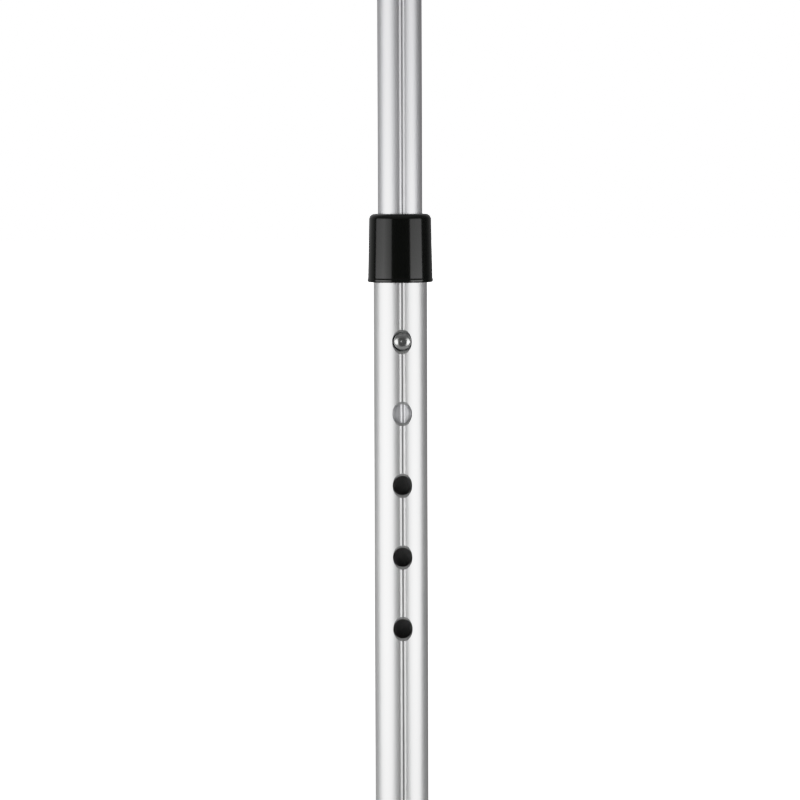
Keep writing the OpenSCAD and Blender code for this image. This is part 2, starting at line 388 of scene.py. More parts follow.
def tube(name, stations, outside, bore, edge=TUBE_EDGE):
    """Tube along stations with both loops' walls, closed by rounded end faces.

    Its UV map has the distance round the loop and the distance along the tube.
    """
    rings = ends_rounded(stations, edge)
    count = len(outside)
    verts = []
    uvs = []
    for loop, grow in ((outside, -1), (bore, 1)):
        around = [0.0]
        for a, b in zip(loop, loop[1:]):
            around.append(around[-1] + (b - a).length)
        for place, u, v, travelled, inset in rings:
            for point, s in zip(grown(loop, grow * inset), around):
                verts.append(place + u * point.x + v * point.y)
                uvs.append((s, travelled))
    shift = len(rings) * count
    faces = quads(len(rings), count)
    faces += [face[::-1] for face in quads(len(rings), count, start=shift)]
    last = (len(rings) - 1) * count
    for j in range(count):
        nxt = (j + 1) % count
        faces.append([j, shift + j, shift + nxt, nxt])
        faces.append([last + nxt, shift + last + nxt, shift + last + j, last + j])
    return new_piece(name, verts, faces, uvs=uvs)


def cut(piece, cutters):
    """Takes the cutters out of the piece. Cut faces get a material index of their own."""
    for holder in [piece] + cutters:
        for _ in range(CUT_INDEX + 1):
            holder.data.materials.append(None)
    for cutter in cutters:
        faces = cutter.data.polygons
        faces.foreach_set("material_index", [CUT_INDEX] * len(faces))
        modifier = piece.modifiers.new("cut", "BOOLEAN")
        modifier.operation = "DIFFERENCE"
        modifier.solver = "EXACT"
        modifier.object = cutter
    graph = bpy.context.evaluated_depsgraph_get()
    mesh = bpy.data.meshes.new_from_object(piece.evaluated_get(graph))
    piece.modifiers.clear()
    piece.data = mesh
    for cutter in cutters:
        bpy.data.objects.remove(cutter)
    smooth(piece, SHARP_ANGLE)


def true_wall_normals(piece, outside, bore, top):
    """Gives an upright tube's walls, below top, the normals of the outlines they are drawn from.

    Faces beside a hole are long and uneven, and their own normals would shade in streaks.
    A normal of zero leaves a corner's own normal as it is.
    """
    mesh = piece.data
    outward = normals_of(outside)
    inward = [-normal for normal in normals_of(bore)]
    start = np.array(outside + bore)
    run = np.array(rolled(outside) + rolled(bore)) - start
    length = (run**2).sum(1)
    first = np.array(outward + inward)
    second = np.array(rolled(outward) + rolled(inward))
    custom = np.zeros((len(mesh.loops), 3))
    for polygon in mesh.polygons:
        if polygon.material_index == CUT_INDEX or abs(polygon.normal.z) > WALL_TILT:
            continue
        for k in polygon.loop_indices:
            place = mesh.vertices[mesh.loops[k].vertex_index].co
            if place.z > top:
                continue
            point = np.array((place.x - AXIS.x, place.y - AXIS.y))
            share = np.clip(((point - start) * run).sum(1) / length, 0, 1)
            gap = start + run * share[:, None] - point
            best = int((gap**2).sum(1).argmin())
            flat = first[best] * (1 - share[best]) + second[best] * share[best]
            custom[k] = (*(flat / np.linalg.norm(flat)), 0)
    mesh.normals_split_custom_set([tuple(n) for n in custom])


def drill(piece, cutters, outside, bore, top):
    """Cuts holes in a tube, mends the shading beside them and leaves no material slots."""
    cut(piece, cutters)
    true_wall_normals(piece, outside, bore, top)
    piece.data.polygons.foreach_set("material_index", [0] * len(piece.data.polygons))
    piece.data.materials.clear()


# ------------ materials

NOISE_LOW = 0.3
NOISE_HIGH = 0.7
# Painted shade: the share of the outside's colour that the groove and bore keep, and how much
# rougher a cut face is
PAINTED_SHADE_SHARE = 0.68
CUT_ROUGHER = 0.25


def new_node(tree, kind, inputs=None, **settings):
    """Node whose inputs are each given a constant, or the output that drives it."""
    node = tree.nodes.new(kind)
    for key, value in settings.items():
        setattr(node, key, value)
    for key, value in (inputs or {}).items():
        feed(node.inputs[key], value)
    return node


def feed(socket, value):
    if isinstance(value, bpy.types.NodeSocket):
        socket.id_data.links.new(value, socket)
    else:
        socket.default_value = value


class Finish:
    """A node material with one Principled shader and short ways to add to it."""

    def __init__(self, name, **constants):
        self.material = bpy.data.materials.new(name)
        self.material.use_nodes = True
        self.tree = self.material.node_tree
        self.shader = self.tree.nodes["Principled BSDF"]
        for socket, value in constants.items():
            self.shader.inputs[socket].default_value = value

    def add(self, kind, inputs=None, **settings):
        return new_node(self.tree, kind, inputs, **settings)

    def coordinates(self, scale=(1, 1, 1), output="Object"):
        source = self.add("ShaderNodeTexCoord").outputs[output]
        mapping = self.add("ShaderNodeMapping", {"Vector": source, "Scale": scale})
        return mapping.outputs["Vector"]

    def noise(self, vector, scale=1.0, detail=3.0, roughness=0.5):
        """Cloudy values, nearly all from NOISE_LOW to NOISE_HIGH."""
        inputs = {"Vector": vector, "Scale": scale, "Detail": detail, "Roughness": roughness}
        return self.add("ShaderNodeTexNoise", inputs).outputs["Fac"]

    def cells(self, vector, scale):
        """Distance to the middle of soft-edged cells."""
        inputs = {"Vector": vector, "Scale": scale, "Smoothness": 0.6}
        node = self.add("ShaderNodeTexVoronoi", inputs, feature="SMOOTH_F1")
        return node.outputs["Distance"]

    def remap(self, value, low_in, high_in, low_out, high_out):
        inputs = {"Value": value, "From Min": low_in, "From Max": high_in}
        inputs.update({"To Min": low_out, "To Max": high_out})
        return self.add("ShaderNodeMapRange", inputs).outputs["Result"]

    def spread(self, noise, lowest, highest):
        """Noise between two levels."""
        return self.remap(noise, NOISE_LOW, NOISE_HIGH, lowest, highest)

    def blend(self, factor, first, second):
        """From the first colour to the second. A Mix node's colours are inputs 6 and 7."""
        inputs = {0: factor, 6: (*first, 1), 7: (*second, 1)}
        return self.add("ShaderNodeMix", inputs, data_type="RGBA").outputs[2]

    def part(self, vector, axis):
        return self.add("ShaderNodeSeparateXYZ", {0: vector}).outputs[axis]

    def maths(self, operation, first, second):
        """Of two outputs, or of an output and a number."""
        inputs = {0: first, 1: second}
        return self.add("ShaderNodeMath", inputs, operation=operation).outputs[0]

    def vectors(self, operation, inputs, output):
        return self.add("ShaderNodeVectorMath", inputs, operation=operation).outputs[output]

    def drive(self, socket, value):
        self.tree.links.new(value, self.shader.inputs[socket])

    def done(self, colour, rough, relief, strength, distance):
        """Drives the colour, the roughness and a bump, and gives the material."""
        inputs = {"Height": relief, "Strength": strength, "Distance": distance}
        self.drive("Normal", self.add("ShaderNodeBump", inputs).outputs["Normal"])
        self.drive("Base Color", colour)
        self.drive("Roughness", rough)
        return self.material


def anodised_aluminium(name, dark, light, smoothest, roughest, outer_r=None):
    """Satin anodised extrusion: fine die lines run along the tube, on a faint cloudiness.

    A straight tube of radius outer_r has painted shade in its groove and bore, and keeps its
    full colour but is rougher on its cut faces, which are all at 0 in the UV map.
    """
    finish = Finish(name, Metallic=1.0, Anisotropic=0.6)
    lines = finish.noise(finish.coordinates((9000, 12, 1), "UV"), detail=4)
    cloud = finish.noise(finish.coordinates((40, 40, 14)), detail=2)
    fine_part = finish.maths("MULTIPLY", lines, 0.6)
    broad_part = finish.maths("MULTIPLY", cloud, 0.4)
    mixed = finish.maths("ADD", fine_part, broad_part)
    rough = finish.spread(mixed, smoothest, roughest)
    colour = finish.blend(lines, dark, light)
    if outer_r:
        # Painted shade: the colour darkens down the groove and stays darkest in the bore; cut
        # faces keep full colour
        inputs = {0: finish.coordinates((1, 1, 0)), 1: (AXIS.x, AXIS.y, 0)}
        away = finish.vectors("DISTANCE", inputs, "Value")
        share = finish.remap(away, outer_r - GROOVE_DEPTH, outer_r, PAINTED_SHADE_SHARE, 1.0)
        along = finish.part(finish.coordinates(output="UV"), "Y")
        cut_face = finish.maths("LESS_THAN", along, 0.001 * MM)
        inputs = {0: colour, "Scale": finish.maths("MAXIMUM", share, cut_face)}
        colour = finish.vectors("SCALE", inputs, "Vector")
        rougher = finish.maths("MULTIPLY", cut_face, CUT_ROUGHER)
        rough = finish.maths("ADD", rough, rougher)
    around = finish.add("ShaderNodeTangent", direction_type="UV_MAP", uv_map="along")
    finish.drive("Tangent", around.outputs["Tangent"])
    return finish.done(colour, rough, lines, 0.10, 0.01 * MM)


def chrome(name, colour, rough, worn, dents, strength):
    """Bright plate with a slight orange peel and hairline wear.

    Dents per metre and strength are the orange peel's. Worn is the share of the colour
    that is left in the hairlines.
    """
    finish = Finish(name, Metallic=1.0)
    peel = finish.noise(finish.coordinates((dents, dents, dents)), detail=1)
    hair = finish.noise(finish.coordinates((90, 90, 900)), detail=6, roughness=0.7)
    mixed = finish.blend(hair, [c * worn for c in colour], colour)
    dulled = finish.remap(hair, 0.35, 0.75, rough, rough + 0.07)
    return finish.done(mixed, dulled, peel, strength, 0.03 * MM)


def black_plastic():
    """Glossy moulded plastic with a soft sink texture."""
    finish = Finish("black_plastic", IOR=1.52)
    flow = finish.noise(finish.coordinates((260, 260, 90)), detail=2)
    fine = finish.noise(finish.coordinates((2400, 2400, 2400)), detail=2)
    colour = finish.blend(flow, (0.0010, 0.0014, 0.0008), (0.0018, 0.0022, 0.0016))
    return finish.done(colour, finish.spread(fine, 0.10, 0.16), flow, 0.10, 0.04 * MM)


def grip_vinyl():
    """Soft vinyl with a pebble grain, with painted sheen on the grain's tops and painted shade
    between them.
    """
    finish = Finish("grip_vinyl", IOR=1.48)
    pebbles = finish.cells(finish.coordinates(), scale=1100)
    patches = finish.noise(finish.coordinates(), scale=60, detail=3)
    # Painted sheen and shade: lighter at the pebbles' middles, darker in the hollows between them
    colour = finish.blend(pebbles, (0.030, 0.030, 0.032), (0.016, 0.016, 0.017))
    rough = finish.spread(patches, 0.46, 0.60)
    domes = finish.maths("MULTIPLY", pebbles, -1.0)
    return finish.done(colour, rough, domes, 0.55, 0.25 * MM)


def tip_rubber():
    """Matte rubber, dusty near the floor."""
    finish = Finish("tip_rubber", IOR=1.5)
    grain = finish.noise(finish.coordinates(), scale=1500, detail=3)
    smudge = finish.noise(finish.coordinates(), scale=130, detail=5, roughness=0.65)
    above_floor = finish.part(finish.coordinates(), "Z")
    low_down = finish.remap(above_floor, 0.0, 9 * MM, 1.0, 0.0)
    dust = finish.maths("MULTIPLY", low_down, finish.remap(smudge, 0.35, 0.7, 0.1, 1.0))
    colour = finish.blend(dust, (0.021, 0.021, 0.022), (0.085, 0.080, 0.074))
    return finish.done(colour, finish.spread(smudge, 0.62, 0.80), grain, 0.35, 0.08 * MM)


def spring_strip():
    """Blued spring steel, with rolling marks."""
    finish = Finish("spring_strip", Metallic=1.0)
    marks = finish.noise(finish.coordinates((2500, 300, 60)), detail=3)
    colour = finish.blend(marks, (0.30, 0.31, 0.34), (0.42, 0.43, 0.45))
    return finish.done(colour, finish.spread(marks, 0.24, 0.38), marks, 0.10, 0.02 * MM)


def weld_metal():
    """Plated weld: duller than the tube, with a fine scale."""
    finish = Finish("weld_metal", Metallic=1.0)
    scale = finish.noise(finish.coordinates(), scale=900, detail=5, roughness=0.6)
    colour = finish.blend(scale, (0.50, 0.50, 0.51), (0.68, 0.68, 0.69))
    return finish.done(colour, finish.spread(scale, 0.20, 0.36), scale, 0.25, 0.06 * MM)


LOWER_ALUMINIUM = anodised_aluminium(
    "lower_aluminium", (0.78, 0.785, 0.785), (0.86, 0.865, 0.865), 0.36, 0.42, LOWER_R
)
UPPER_ALUMINIUM = anodised_aluminium(
    "upper_aluminium", (0.72, 0.723, 0.74), (0.80, 0.803, 0.82), 0.38, 0.44
)
BUTTON_CHROME = chrome("button_chrome", (0.84, 0.85, 0.84), 0.24, 0.7, 1300, 0.5)
BASE_CHROME = chrome("base_chrome", (0.74, 0.75, 0.77), 0.07, 0.94, 420, 0.05)
BLACK_PLASTIC = black_plastic()
GRIP_VINYL = grip_vinyl()
TIP_RUBBER = tip_rubber()
SPRING_STRIP = spring_strip()
WELD_METAL = weld_metal()


def stand_for(piece, node, material):
    """The piece shows in place of the CAD node and moves with its body."""
    piece.data.materials.clear()
    piece.data.materials.append(material)
    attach(piece, BODY_OF[node])
    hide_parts(node)


# ------------ tubes


def hole_cutter(z, radius, crest, pocket=False):
    """Drill that points out of the front of the shaft.

    It breaks the hole's edge, or ends in a tall oval pocket, at the tube's crest.
    """
    inside, over, lip = 2 * MM, MM, 0.2 * MM
    if pocket:
        corners = [
            (radius, crest - POCKET_DEPTH, 0.25 * MM),
            (POCKET_R - 0.06 * MM, crest - POCKET_WALL, 0.3 * MM),
            (POCKET_R, crest, 0),
            (POCKET_R + 0.05 * MM, crest + over, 0),
        ]
    else:
        corners = [(radius, crest - lip, lip), (radius + 3 * lip, crest + 2 * lip, 0)]
    top = corners[-1][1]
    outline = rounded([(0, inside, 0), (radius, inside, 0), *corners, (0, top, 0)], 6)
    cutter = lathe("cutter", outline, Matrix.Identity(4))
    # A pocket is narrower across the tube than along it
    squeeze = (POCKET_SIDE - radius) / (POCKET_R - radius) if pocket else 1
    for vert in cutter.data.vertices:
        reach = vert.co.xy.length
        if reach > radius:
            vert.co.x *= (radius + (reach - radius) * squeeze) / reach
    cutter.data.transform(pointing(on_axis(z), (0, -1, 0), (0, 0, 1)))
    return cutter


def upright(node):
    """Stations of a straight tube on the shaft's axis."""
    return stations_along([on_axis(low(node).z), on_axis(high(node).z)], [])


def upper_tube():
    """Straight, then bent back and forward again to carry the grip over the shaft."""
    grip_z = high("upper_tube").z - UPPER_R - BEND_EXTRA
    heel_x = low("upper_tube").x + BEND_EXTRA + UPPER_R + HEEL_BEND_R
    rise = (
        NECK_BEND_R * math.sin(NECK_ANGLE)
        + NECK_STRAIGHT * math.cos(NECK_ANGLE)
        + HEEL_BEND_R * (1 + math.sin(NECK_ANGLE))
    )
    neck_z = grip_z - rise
    heel_reach = HEEL_BEND_R * math.tan((math.pi / 2 + NECK_ANGLE) / 2)
    path = [
        on_axis(low("upper_tube").z),
        on_axis(neck_z + NECK_BEND_R * math.tan(NECK_ANGLE / 2)),
        AXIS + Vector((heel_x - heel_reach, 0, grip_z)),
        AXIS + Vector((high("upper_tube").x, 0, grip_z)),
    ]
    stations = stations_along(path, [NECK_BEND_R, HEEL_BEND_R])
    rib_bottom = UPPER_R - GROOVE_DEPTH - WALL_BEHIND_GROOVE
    rib_r = GROOVE_R + WALL_BEHIND_GROOVE
    turn = Matrix.Rotation(KEY_PLAY, 2)
    outside = [turn @ p for p in grooved_outside(UPPER_R)]
    bore = [turn @ p for p in ribbed_bore(UPPER_R - UPPER_WALL, rib_bottom, rib_r)]
    piece = tube("upper_tube_drawn", stations, outside, bore)
    holes = [hole_cutter(BUTTON_Z, CARRIER_HOLE_R, UPPER_R)]
    drill(piece, holes, outside, bore, neck_z - MM)
    stand_for(piece, "upper_tube", UPPER_ALUMINIUM)


def lower_tube():
    """Five pocketed height holes at an even pitch, and a plain hole for the base button."""
    outside = grooved_outside(LOWER_R)
    rib_bottom = UPPER_R - GROOVE_DEPTH + KEY_GAP
    bore = ribbed_bore(LOWER_R - LOWER_WALL, rib_bottom, KEY_R)
    piece = tube("lower_tube_drawn", upright("lower_tube"), outside, bore)
    holes = [
        hole_cutter(BUTTON_Z - i * HOLE_PITCH, SNAP_HOLE_R, LOWER_R, pocket=True)
        for i in range(HOLE_STEPS + 1)
    ]
    holes.append(hole_cutter(BASE_BUTTON_Z, CARRIER_HOLE_R, LOWER_R))
    drill(piece, holes, outside, bore, high("lower_tube").z)
    stand_for(piece, "lower_tube", LOWER_ALUMINIUM)


def base_socket():
    """Plain tube with a hole at its front and its back, one for each hand's side."""
    outside = circle(SOCKET_R, 128)
    bore = circle(SOCKET_R - SOCKET_WALL, 128)
    piece = tube("base_socket_drawn", upright("base_socket"), outside, bore, edge=0.35 * MM)
    holes = [hole_cutter(BASE_BUTTON_Z, SNAP_HOLE_R, SOCKET_R) for _ in range(2)]
    to_axis = Matrix.Translation(AXIS)
    holes[1].data.transform(to_axis @ Matrix.Rotation(math.pi, 4, "Z") @ to_axis.inverted())
    drill(piece, holes, outside, bore, high("base_socket").z)
    stand_for(piece, "base_socket", BASE_CHROME)


def leg_tube(which, side):
    """Two legs bent from one tube, whose middle is welded to the socket."""
    node = "leg_tube_" + which
    hub_y = AXIS.y + side * (SOCKET_R + LEG_R + WELD_GAP)
    foot = centre("foot_tip_front_" + which)
    half = [
        Vector((foot.x, foot.y, low(node).z)),
        Vector((foot.x, foot.y, KNEE_Z)),
        Vector((HUB_HALF, hub_y, HUB_Z)),
    ]
    flip = Vector((-1, 1, 1))
    path = [p * flip for p in half] + half[::-1]
    stations = stations_along(path, [KNEE_BEND_R, HUB_BEND_R, HUB_BEND_R, KNEE_BEND_R])
    piece = tube(node + "_drawn", stations, circle(LEG_R, 72), circle(LEG_R - LEG_WALL, 72))
    stand_for(piece, node, BASE_CHROME)


# ------------ collars, stop, cap


def push_collar(node, fit_r, hole_r, lip_h):
    """Moulded collar: rounded shoulder, slight taper, and a bead round its lower rim."""
    top = height_of(node)
    bead_r = high(node).x - AXIS.x
    bead_h = 1.5 * MM
    bottom_r = bead_r - 0.16 * MM
    top_r = bead_r - 0.66 * MM
    corners = [
        (fit_r, 0, 0.25 * MM),
        (bead_r, 0, 0.6 * MM),
        (bead_r, bead_h - 0.5 * MM, 0.3 * MM),
        (bottom_r, bead_h, 0.3 * MM),
        (top_r, top, 2.0 * MM),
        (hole_r, top, 0.4 * MM),
        (hole_r, top - lip_h, 0.15 * MM),
        (fit_r, top - lip_h, 0),
    ]
    place = Matrix.Translation(on_axis(low(node).z))
    outline = rounded(corners, steps=10, share=0.82)
    piece = lathe(node + "_moulded", outline, place, segments=128)
    stand_for(piece, node, BLACK_PLASTIC)


def socket_stop():
    """Plug under the socket, with a dished flange."""
    node = "socket_stop"
    flange_r = high(node).x - AXIS.x
    flange_h = 2 * MM
    dish = 0.9 * MM
    plug_r = SOCKET_R - SOCKET_WALL
    corners = [
        (0, dish, 0),
        (flange_r - 4 * MM, dish, 0.3 * MM),
        (flange_r - 3.4 * MM, 0, 0.3 * MM),
        (flange_r, 0, 0.8 * MM),
        (flange_r, flange_h, 0.2 * MM),
        (plug_r, flange_h, 0),
        (plug_r, height_of(node), 0.5 * MM),
        (0, height_of(node), 0),
    ]
    place = Matrix.Translation(on_axis(low(node).z))
    piece = lathe("socket_stop_moulded", rounded(corners), place)
    stand_for(piece, node, BLACK_PLASTIC)


def handle_end_cap():
    """Domed head with a ring pressed in it, on a ribbed plug. Heights are from the grip's end."""
    node = "handle_end_cap"
    head_r = high(node).y - AXIS.y
    face_x = high("handle_grip").x
    head_h = high(node).x - face_x
    plug_l = face_x - low(node).x
    plug_r = UPPER_R - UPPER_WALL - WALL_BEHIND_GROOVE / 2
    seat_r = UPPER_R - 0.2 * MM
    seat_l = 2 * MM
    gap = 0.02 * MM
    core_r = plug_r - 0.7 * MM
    soft = 0.1 * MM
    ribs = []
    for k in range(4):
        at = -plug_l + (2.2 + 2.4 * k) * MM
        ribs += [
            (core_r, at, soft),
            (plug_r, at + 0.5 * MM, soft),
            (plug_r - 0.1 * MM, at + 0.9 * MM, soft),
            (core_r, at + 1.3 * MM, soft),
        ]
    corners = [
        (0, -plug_l, 0),
        (plug_r - 1.2 * MM, -plug_l, 0.3 * MM),
        *ribs,
        (core_r, -seat_l, 0),
        (seat_r, -seat_l, 0),
        (seat_r, gap, 0),
        (head_r, gap, 0.35 * MM),
        (head_r - 0.1 * MM, 1.9 * MM, 0.9 * MM),
        (head_r - 3.2 * MM, head_h - 0.35 * MM, 3 * MM),
        (head_r - 5.4 * MM, head_h - 0.15 * MM, 0.3 * MM),
        (head_r - 5.9 * MM, head_h - 0.75 * MM, 0.3 * MM),
        (head_r - 6.6 * MM, head_h - 0.15 * MM, 0.3 * MM),
        (0, head_h, 0),
    ]
    place = pointing(Vector((face_x, AXIS.y, centre(node).z)), (1, 0, 0), (0, 0, 1))
    piece = lathe("handle_end_cap_moulded", rounded(corners), place)
    stand_for(piece, node, BLACK_PLASTIC)


# ------------ buttons and clips

DOME_STEPS = 32
DENT_STEPS = 12


def snap_button(node, z):
    """Pressed steel button: dome, shank with a drawn edge, and the flange that keeps it in."""
    seat = AXIS.y - high(node).y
    tip = AXIS.y - low(node).y
    flange_r = high(node).x - AXIS.x
    flange_h = 0.8 * MM
    dome_h = 2.2 * MM
    dent_r = 1.1 * MM
    dent = 0.20 * MM
    square = 2.6

    def dome_height(radius):
        """Superellipse with a round dent in its middle."""
        crown = dome_h * max(0.0, 1 - (radius / BUTTON_R) ** square) ** (1 / square)
        inward = min(1.0, radius / dent_r)
        return tip - dome_h + crown - dent * (0.5 + 0.5 * math.cos(math.pi * inward))

    turns = [math.pi / 2 * k / DOME_STEPS for k in range(DOME_STEPS)]
    radii = [BUTTON_R * math.cos(a) ** (2 / square) for a in turns]
    radii = [radius for radius in radii if radius > dent_r]
    radii += [dent_r * (1 - k / DENT_STEPS) for k in range(DENT_STEPS + 1)]
    dome = [Vector((radius, dome_height(radius))) for radius in radii]
    corners = [
        (0, seat, 0),
        (flange_r, seat, 0.2 * MM),
        (flange_r, seat + flange_h, 0.3 * MM),
        (BUTTON_R, seat + flange_h, 0.25 * MM),
        (BUTTON_R, tip, 0),
        (0, tip, 0),
    ]
    outline = rounded(corners)[:-2] + dome
    place = pointing(on_axis(z) + BUTTON_OFF, (0, -1, 0), (0, 0, 1))
    piece = lathe(node + "_pressed", outline, place, segments=72)
    stand_for(piece, node, BUTTON_CHROME)


def spring_clip(node):
    """Bent strip: a leg behind the button, a bend above it, and a leg with a turned-in toe."""
    lowest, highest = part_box(node)
    thick = 0.7 * MM
    half_w = (highest.x - lowest.x) / 2
    edge = 0.2 * MM
    front_y = lowest.y + thick / 2
    back_y = highest.y - thick / 2
    bend_r = (back_y - front_y) / 2
    bend_z = highest.z - thick / 2 - bend_r
    toe_z = lowest.z + 5 * MM
    toe_in = 1.2 * MM
    toe_r = 2 * MM
    path = [
        (AXIS.x, front_y, lowest.z),
        (AXIS.x, front_y, bend_z + bend_r),
        (AXIS.x, back_y, bend_z + bend_r),
        (AXIS.x, back_y, toe_z + 3 * MM),
        (AXIS.x, back_y - toe_in, toe_z),
    ]
    # Two quarter bends make the half turn, and are kept just apart
    quarter_r = bend_r * 0.999
    stations = stations_along(path, [quarter_r, quarter_r, toe_r], key=Vector((1, 0, 0)))
    corners = [
        (-thick / 2, -half_w, edge),
        (thick / 2, -half_w, edge),
        (thick / 2, half_w, edge),
        (-thick / 2, half_w, edge),
    ]
    section = rounded(corners, 3)
    rings = ends_rounded(stations, 0.15 * MM, 2)
    count = len(section)
    verts = []
    for place, u, v, _, inset in rings:
        verts += [place + u * p.x + v * p.y for p in grown(section, -inset)]
    faces = quads(len(rings), count)
    faces.append(list(range(count))[::-1])
    faces.append(list(range(len(verts) - count, len(verts))))
    piece = new_piece(node + "_bent", verts, faces)
    stand_for(piece, node, SPRING_STRIP)
    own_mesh(piece)


# ------------ grip

FINGERS = 4
GRIP_AROUND = 120
GRIP_ALONG = 120


def handle_grip():
    """Moulded grip: palm swell above, finger valleys below, fine rings at its ends."""
    node = "handle_grip"
    start = low(node).x
    length = high(node).x - start
    axis_z = centre(node).z
    top_r = high(node).z - axis_z
    waist_r = 14 * MM
    rim_r = waist_r + 1.2 * MM
    rim_w = 4 * MM
    edge = 1.1 * MM
    slope = 1.0 * MM

    def body_radius(t, angle):
        """Radius at a share t of the body's length; angle 90 is up."""
        up = math.sin(math.radians(angle))
        swell = math.sin(math.pi * t) ** 2
        radius = waist_r + (top_r - waist_r) * swell * (0.86 + 0.14 * up)
        under = max(0.0, -up) ** 2
        fingers = 0.5 - 0.5 * math.cos(TAU * FINGERS * t)
        fade = min(1.0, 6 * t, 6 * (1 - t))
        radius += under * fade * (0.9 * fingers - 0.5) * MM
        seam = 0.12 * MM * math.exp(-((up / 0.012) ** 2))
        return radius + seam * fade

    rim = []
    for k in range(7):
        a = math.pi / 2 * k / 6
        rim.append((edge * (1 - math.cos(a)), rim_r - edge * (1 - math.sin(a))))
    for k in range(5):
        fall = 0.5 - 0.5 * math.cos(math.pi * k / 4)
        rim.append((rim_w - slope + slope * k / 4, rim_r + (waist_r - rim_r) * fall))
    front = [(x, [radius] * GRIP_AROUND) for x, radius in rim]
    body = []
    for k in range(1, GRIP_ALONG):
        t = k / GRIP_ALONG
        x = rim_w + (length - 2 * rim_w) * t
        ring = [body_radius(t, 360 * j / GRIP_AROUND) for j in range(GRIP_AROUND)]
        near_end = min(x - rim_w, length - rim_w - x)
        for groove in (4 * MM, 6.5 * MM, 9 * MM):
            dip = 0.35 * MM * math.exp(-(((near_end - groove) / (0.45 * MM)) ** 2))
            ring = [r - dip for r in ring]
        body.append((x, ring))
    back = [(length - x, ring) for x, ring in front[::-1]]
    bore = [(x, [UPPER_R] * GRIP_AROUND) for x in (length, 0)]
    rows = front + body + back + bore
    verts = []
    for x, ring in rows:
        for j, radius in enumerate(ring):
            a = TAU * j / GRIP_AROUND
            y, z = radius * math.cos(a), radius * math.sin(a)
            verts.append(Vector((start + x, AXIS.y + y, axis_z + z)))
    faces = quads(len(rows), GRIP_AROUND, wrap=True)
    piece = new_piece("handle_grip_moulded", verts, faces)
    stand_for(piece, node, GRIP_VINYL)


# ------------ feet and welds

WELD_AROUND = 288
WELD_SECTION = 12
WELD_POOLS = 26


def foot_tip(node):
    """Ferrule: flared foot, hollow cove and banded sleeve, with round treads underneath."""
    flare_r = high(node).x - centre(node).x
    top = high(node).z
    sleeve_r = LEG_R + 3.2 * MM
    top_r = sleeve_r - 0.5 * MM
    floor = 9 * MM
    band = 0.7 * MM
    bands = []
    for z in (17 * MM, 21.5 * MM, 26 * MM):
        bands += [
            (sleeve_r, z, 0.2 * MM),
            (sleeve_r + band, z + 0.35 * MM, 0.3 * MM),
            (sleeve_r + band, z + 1.85 * MM, 0.3 * MM),
            (sleeve_r, z + 2.2 * MM, 0.2 * MM),
        ]
    tread_h = 1.5 * MM
    soft = 0.15 * MM
    treads = []
    for inner_r in (flare_r - 11.5 * MM, flare_r - 8.3 * MM, flare_r - 5.1 * MM):
        treads += [
            (inner_r, tread_h, soft),
            (inner_r + 0.35 * MM, 0, soft),
            (inner_r + 1.95 * MM, 0, soft),
            (inner_r + 2.3 * MM, tread_h, soft),
        ]
    corners = [
        (0, floor, 0),
        (0, tread_h, 0),
        *treads,
        (flare_r - 2.0 * MM, tread_h, soft),
        (flare_r - 1.7 * MM, 0, soft),
        (flare_r, 0, 0.5 * MM),
        (flare_r - 0.1 * MM, 2.6 * MM, 0.3 * MM),
        (flare_r - 0.5 * MM, 3.0 * MM, 0.2 * MM),
        (flare_r - 0.2 * MM, 3.4 * MM, 0.3 * MM),
        (flare_r - 0.3 * MM, 6.5 * MM, 0.9 * MM),
        (sleeve_r + 0.6 * MM, 8.2 * MM, 1.2 * MM),
        (sleeve_r, 13 * MM, 6 * MM),
        *bands,
        (top_r + 0.15 * MM, top - 6 * MM, 3 * MM),
        (top_r, top, 1.2 * MM),
        (LEG_R, top, 0.3 * MM),
        (LEG_R, floor, 0),
    ]
    place = Matrix.Translation((centre(node).x, centre(node).y, 0))
    piece = lathe(node + "_moulded", rounded(corners, 6), place, segments=112)
    stand_for(piece, node, TIP_RUBBER)


def foot_washer(node):
    """Steel disc in the tip, under the end of the leg."""
    radius = high(node).x - centre(node).x
    hole_r = 2.5 * MM
    thick = height_of(node)
    corners = [
        (hole_r, 0, 0.15 * MM),
        (radius, 0, 0.3 * MM),
        (radius, thick, 0.15 * MM),
        (hole_r, thick, 0.3 * MM),
    ]
    place = Matrix.Translation((centre(node).x, centre(node).y, low(node).z))
    piece = lathe(node + "_stamped", rounded(corners, 3), place, segments=64)
    stand_for(piece, node, SPRING_STRIP)


def weld_bead(side):
    """Bead of overlapping pools round the spot where a leg tube meets the socket."""
    hub = on_axis(HUB_Z)
    leg_y = SOCKET_R + LEG_R + WELD_GAP
    sink = 0.08 * MM
    root_r = 3 * MM
    verts = []
    for i in range(WELD_AROUND):
        a = TAU * i / WELD_AROUND
        x, z = math.cos(a), math.sin(a)
        # How far across its pool this place is, from 0 to 1
        pool = (i * WELD_POOLS / WELD_AROUND) % 1
        ripple = 0.22 * MM * math.sqrt(max(0.0, 1 - (2 * pool - 1) ** 2))
        wander = 0.25 * MM * math.sin(3 * a + 1.1 * side) + 0.15 * MM * math.sin(7 * a)
        on_socket = 6.6 * MM + wander + ripple
        on_leg = 6.2 * MM - wander + ripple
        sx, sz = on_socket * x, on_socket * z
        lx, lz = on_leg * x, on_leg * z
        socket_y = math.sqrt(SOCKET_R**2 - sx**2) - sink
        socket_point = Vector((sx, side * socket_y, sz))
        touch_y = leg_y - math.sqrt(LEG_R**2 - lz**2) + sink
        leg_point = Vector((lx, side * touch_y, lz))
        for k in range(WELD_SECTION - 1):
            t = k / (WELD_SECTION - 2)
            crown = math.sin(math.pi * t) * (ripple * 0.8 - 0.35 * MM)
            point = socket_point.lerp(leg_point, t) + Vector((x, 0, z)) * crown
            verts.append(hub + point)
        verts.append(hub + Vector((root_r * x, side * (SOCKET_R - 0.1 * MM), root_r * z)))
    return verts


